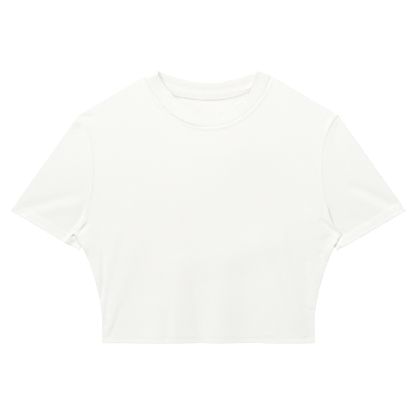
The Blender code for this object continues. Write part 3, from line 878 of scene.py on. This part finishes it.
def bandSections():
    # cross sections of half the ring, from the centre back round the shoulder to the centre front
    backShares, frontShares = even(band["backSections"]), even(band["frontSections"])
    backOuter = shifted(curve("backNeckline", backShares), band["gap"])[::-1]
    frontOuter = shifted(curve("frontNeckline", frontShares), band["gap"])
    backInner = curve("backBandEdge", backShares)[::-1]
    frontInner = curve("frontBandEdge", frontShares)
    # laid a little wider open on the wearer's left
    leftShift = curve("frontBandEdgeLeft", frontShares) - frontInner
    low = band["thickness"] / 2
    edges = np.stack([frontInner, frontOuter])
    rest = softHeight(edges[..., 0], edges[..., 1]) + band["proud"] - band["thickness"] / 2
    rest = np.maximum(rest, band["frontRest"] + low)
    tip = bump(frontShares, band["tipReach"])
    right, left = (rest + np.stack([tip * lift, tip * lift * seamShare])
                   for lift, seamShare in zip(band["tipLift"], band["seamShare"]))
    run = towards(place("bandTip"), place("neck"))
    outward = leftOf(place("bandTip"), place("neck"))
    bulge = band["turnReach"] + band["thickness"] / 2
    foldInner = place("bandTip") - outward * bulge
    foldOuter = place("neck") - outward * bulge - run * band["turnShort"]
    sections = [{"inner": inner, "outer": outer, "heights": (low, low), "inXY": np.zeros(2), "inZ": 1.0}
                for inner, outer in zip(backInner[:-1], backOuter[:-1])]
    for step in range(band["turnSteps"] + 1):
        angle = math.pi * (step / band["turnSteps"] - 0.5)
        reach = outward * math.cos(angle) * band["turnReach"]
        heights = [low + radius * (1 + math.sin(angle)) for radius in (left[:, 0] - low) / 2]
        sections.append({"inner": foldInner + reach, "outer": foldOuter + reach, "heights": heights,
                         "inXY": -outward * math.cos(angle), "inZ": -math.sin(angle)})
    for i in range(1, len(frontInner)):
        blend = smooth(i / len(frontInner), 0, 0.12)
        sections.append({"inner": frontInner[i], "outer": frontOuter[i],
                         "heights": left[:, i] * blend + left[:, 0] * (1 - blend),
                         "inXY": np.zeros(2), "inZ": -1.0, "leftShift": leftShift[i],
                         "rightExtra": (right - left)[:, i] * smooth(i, 0, 6)})
    return sections


def buildNeckband():
    sections = bandSections()
    half = len(sections)
    order = list(range(half)) + list(range(half - 2, -1, -1))
    signs = [1] * half + [-1] * (half - 1)
    radius = (band["thickness"] - band["ply"]) / 2
    across = even(band["acrossSteps"])
    turns = np.linspace(0, math.pi, band["foldSteps"] + 2)[1:-1]
    rows = []
    for index, sign in zip(order, signs):
        section = sections[index]
        inner, outer, heights = section["inner"], section["outer"], np.array(section["heights"])
        if sign > 0:
            inner = inner + section.get("leftShift", 0)
        else:
            heights = heights + section.get("rightExtra", 0)
        seamward = towards(inner, outer)
        foldAt = inner + seamward * (radius + band["ply"] / 2)

        def point(plan, height, offset):
            return [*(plan + section["inXY"] * offset), height + section["inZ"] * offset]

        # ply that faces the wearer from the seam to the fold, the fold, ply that faces out back to the seam
        ply = [(outer * (1 - share) + foldAt * share, heights[1] * (1 - share) + heights[0] * share)
               for share in across]
        fold = [point(foldAt - seamward * radius * math.sin(angle), heights[0], radius * math.cos(angle))
                for angle in turns]
        row = [point(*spot, radius) for spot in ply] + fold + [point(*spot, -radius) for spot in ply[::-1]]
        rows.append(np.array(row) * np.array([sign, 1, 1]))
    points = np.array(rows)
    # surface: edge of the seam pulled in, hollow at the back, rolled off to a small lip at the front
    count = len(across)
    backShape = 0.12 * bump(across - 0.74, 0.15) - 0.3 * bump(across - 0.42, 0.2)
    frontShape = -0.3 * bump(across, 0.05) - 0.6 * across**2.4 + 0.5 * bump(across - 1, 0.06)
    facing = np.concatenate([np.ones(count), np.cos(turns), -np.ones(count)])
    turned = np.array([sections[i]["inZ"] for i in order])[:, None]
    shape = backShape * (1 + turned) / 2 + frontShape * (1 - turned) / 2
    underShape = frontShape * (1 - turned) / 2      # the back half's lower ply stays flat
    profile = np.hstack([shape, np.repeat(shape[:, -1:], len(turns), axis=1), underShape[:, ::-1]])
    points[..., 2] += profile * facing[None] * turned
    # on the wearer's left the back half buckles and runs in steeply under the front half
    toFront = nearest(points[..., 0], points[..., 1], curve("frontBandEdgeLeft", even(30)))[0]
    crevice = band["creviceRise"] * bump(toFront - 4.5, 3.2) - band["creviceDepth"] * bump(toFront, 1.4)
    points[..., 2] += crevice * (turned > 0.99)
    # its front half gapes a little where the tape runs in under it on the wearer's right
    gape = at(*band["gapeAt"])
    gapeShape = bump(np.hypot(points[..., 0] - gape[0], points[..., 1] - gape[1]), band["gapeReach"])
    points[..., 2] += band["gapeRise"] * gapeShape * (turned < 0)
    cutPlan = np.dstack(np.meshgrid(np.linspace(0, band["cutWidth"], points.shape[1]),
                                    lengths(points[:, count // 2, :2])))
    points[..., 2] = np.maximum(points[..., 2], band["ply"] / 2)
    return clothPiece("ribBand", points, cutPlan[..., ::-1], band["ply"], rib, wrap=True)


tapePlan = {
    "width": 6.8,
    "leftSlim": 0.36,        # share of its width that the wearer's left end loses
    "rows": (-0.14, 0.4, 1.1, 1.6, 2.1, 2.6, 3.1, 4.0, 5.4, 6.3, 6.8),  # from the neck's seam
    "ply": 0.45,
    "top": 1.1,
    "lift": 0.03,
    "tuck": 0.03,
    "stitchPull": 0.1,
    "startShare": 0.26,      # of the back neckline, from the shoulder, where it starts
}


def buildNeckTape():
    start = tapePlan["startShare"]
    seam = curve("backNeckline", start + (1 - start) * even(60))
    seam = np.vstack([seam, (seam * np.array([-1, 1]))[-2::-1]])
    across = np.array(tapePlan["rows"])
    share = across / tapePlan["width"]
    slim = 1 - tapePlan["leftSlim"] * smooth(seam[:, 0], 30.0, 75.0)
    reach = (shifted(seam, -tapePlan["width"]) - seam)[:, None]
    rows = seam[:, None] + reach * (slim[:, None] * share)[:, :, None]
    height = tapePlan["top"] + tapePlan["lift"] * share**2 + 0.04 * bump(share - 0.45, 0.3)
    height -= tapePlan["tuck"] * bump(share, 0.16) + tapePlan["stitchPull"] * bump(share - 0.38, 0.07)
    points = np.dstack([rows, np.broadcast_to(height, rows.shape[:2])])
    cutPlan = np.dstack(np.meshgrid(across, lengths(seam)))
    return clothPiece("neckTape", points, cutPlan, tapePlan["ply"], tape)


stitches = {
    "thickness": 0.4,
    "hemPitch": 3.2,
    "hemLength": 2.3,
    "seamPitch": 3.0,
    "seamLength": 1.3,       # across the armhole seam
    "inset": 3.0,            # of a row from the edges of its piece
}


def stitchRow(name, route, heights, pitch, long, wide):
    # one stitch, repeated along a line of points that lie on the cloth
    deselect()
    bpy.ops.mesh.primitive_uv_sphere_add(segments=6, ring_count=4, radius=0.5 * mm)
    row = bpy.context.object
    row.name = row.data.name = name
    edit(row, lambda: bpy.ops.transform.resize(value=(long, wide, stitches["thickness"])))
    points = np.column_stack([route, heights])
    total = np.sum(np.hypot(*np.diff(route, axis=0).T))
    path = bpy.data.curves.new(name + "Path", "CURVE")
    path.dimensions = "3D"
    path.twist_mode = "Z_UP"
    spline = path.splines.new("POLY")
    spline.points.add(len(points) - 1)
    spline.points.foreach_set("co", np.column_stack([points * mm, np.ones(len(points))]).ravel())
    guide = bpy.data.objects.new(name + "Guide", path)
    bpy.context.collection.objects.link(guide)
    applyModifier(row, "ARRAY", count=int(total / pitch), use_relative_offset=False, use_constant_offset=True,
                  constant_offset_displace=(pitch * mm, 0, 0))
    applyModifier(row, "CURVE", object=guide, deform_axis="POS_X")
    bpy.data.objects.remove(guide)
    deselect()
    row.select_set(True)
    bpy.ops.object.shade_smooth()
    row.data.materials.append(thread)
    return row


def joined(name, rows):
    deselect()
    for row in rows:
        row.select_set(True)
    bpy.context.view_layer.objects.active = rows[0]
    if len(rows) > 1:
        bpy.ops.object.join()
    rows[0].name = rows[0].data.name = name
    print(f"{name}: {len(rows[0].data.polygons)} faces")
    return rows[0]


def straightRow(name, start, end, under=False):
    route = line(start, end, even(120))
    low = stitches["thickness"] / 2 - 0.04
    heights = np.full(len(route), low) if under else topHeight(route[:, 0], route[:, 1]) + 0.02
    return stitchRow(name, route, heights, stitches["hemPitch"], stitches["hemLength"], stitches["thickness"])


def sewHems():
    # twin rows that hold the body's hem, on both panels
    rows = []
    for depth, _ in seams["hemRows"]:
        drop = garment["bodyLength"] - depth
        reach = places["hem"][0] - stitches["inset"]
        rows.append(straightRow("row", at(-reach, drop), at(reach, drop)))
        rows.append(straightRow("row", at(-reach, drop), at(reach, drop), under=True))
    return joined("hemStitches", rows)


def sewCuff(name, side):
    # twin rows round one cuff
    rows = []
    tip, corner = place("cuffTip"), place("cuffCorner")
    run = towards(tip, corner)
    inwards = -leftOf(tip, corner)
    mirror = np.array([side, 1])
    for depth in seams["cuffRows"]:
        start = tip + inwards * depth + run * (stitches["inset"] + depth * 0.1)
        end = corner + inwards * depth - run * (stitches["inset"] + 6 + depth * 0.5)
        rows.append(straightRow("row", start * mirror, end * mirror))
        rows.append(straightRow("row", start * mirror, end * mirror, under=True))
    return joined(name, rows)


def sewArmhole(name, side):
    # ladder of thread that shows in the seam between body and sleeve
    route = alongCurve("armhole", np.linspace(4, curveLength("armhole") - 5, 160))
    route = shifted(route, -garment["seamGap"] / 2) * np.array([side, 1])
    heights = topHeight(route[:, 0], route[:, 1]) - 0.1
    row = stitchRow("row", route, heights, stitches["seamPitch"], stitches["thickness"],
                    stitches["seamLength"])
    return joined(name, [row])


print("cloth pieces")
frontPanel = buildFrontPanel()
backPanel = buildBackPanel()
sleeveLeft = buildSleeve("sleeveLeft", 1)
sleeveRight = buildSleeve("sleeveRight", -1)
neckband = buildNeckband()
neckTape = buildNeckTape()

print("stitching")
hemStitches = sewHems()
cuffStitchesLeft, cuffStitchesRight = sewCuff("cuffStitchesLeft", 1), sewCuff("cuffStitchesRight", -1)
armStitchesLeft, armStitchesRight = sewArmhole("armStitchesLeft", 1), sewArmhole("armStitchesRight", -1)

dress(frontPanel, "front_panel", slot="jersey")
dress(backPanel, "back_panel", slot="jersey")
dress(sleeveLeft, "sleeve_left", slot="jersey")
dress(sleeveRight, "sleeve_right", slot="jersey")
dress(neckband, "neckband", slot="rib")
dress(neckTape, "neck_tape", slot="tape")
for sewing in (hemStitches, cuffStitchesLeft, cuffStitchesRight, armStitchesLeft, armStitchesRight):
    dress(sewing, slot="jersey")

# Studio: pale sweep, soft sun from the top left, a large soft panel beyond the neck.
studio = {
    "floorSize": 24.0,
    "floorGlow": 0.96,       # so that the paper comes out plain white
    "sunFrom": (-1.0, 0.9, 1.35),
    "sunStrength": 1.06,
    "sunAngle": 44.0,
    "panelPlace": (-0.1, 1.6, 2.4),
    "panelSize": 1.8,
    "panelEnergy": 39.3,
    "skyStrength": 0.4695,
    "cameraPlace": (-0.0003, -0.0018, 1.9067),
    "lens": 100,
    "sensorWidth": 36,
}
white = (1, 1, 1, 1)
deselect()
bpy.ops.mesh.primitive_plane_add(size=studio["floorSize"], location=(0, 0, -0.0003))
floor = bpy.context.object
floor.name = "floor"
paper = plain("white_paper_sweep", "#808080", 0.9)
paper.node_tree.nodes["Principled BSDF"].inputs["Emission Color"].default_value = white
paper.node_tree.nodes["Principled BSDF"].inputs["Emission Strength"].default_value = studio["floorGlow"]
floor.data.materials.append(paper)

bpy.ops.object.light_add(type="SUN", location=(-2, 2, 3))
sun = bpy.context.object
sun.name = "softSun"
sun.data.energy = studio["sunStrength"]
sun.data.angle = math.radians(studio["sunAngle"])
sun.rotation_euler = Vector(studio["sunFrom"]).to_track_quat("Z", "Y").to_euler()

bpy.ops.object.light_add(type="AREA", location=studio["panelPlace"])
panel = bpy.context.object
panel.name = "softPanel"
panel.data.energy = studio["panelEnergy"]
panel.data.size = studio["panelSize"]
panel.visible_camera = False
panel.rotation_euler = Vector(studio["panelPlace"]).to_track_quat("Z", "Y").to_euler()

world = bpy.data.worlds.new("studioAir")
bpy.context.scene.world = world
world.use_nodes = True
world.node_tree.nodes["Background"].inputs["Color"].default_value = white
world.node_tree.nodes["Background"].inputs["Strength"].default_value = studio["skyStrength"]
bpy.context.scene.view_settings.view_transform = "Standard"

bpy.ops.object.camera_add(location=studio["cameraPlace"], rotation=(0, 0, 0))
camera = bpy.context.object
camera.name = "overhead"
camera.data.lens = studio["lens"]
camera.data.sensor_width = studio["sensorWidth"]
bpy.context.scene.camera = camera

print("done")
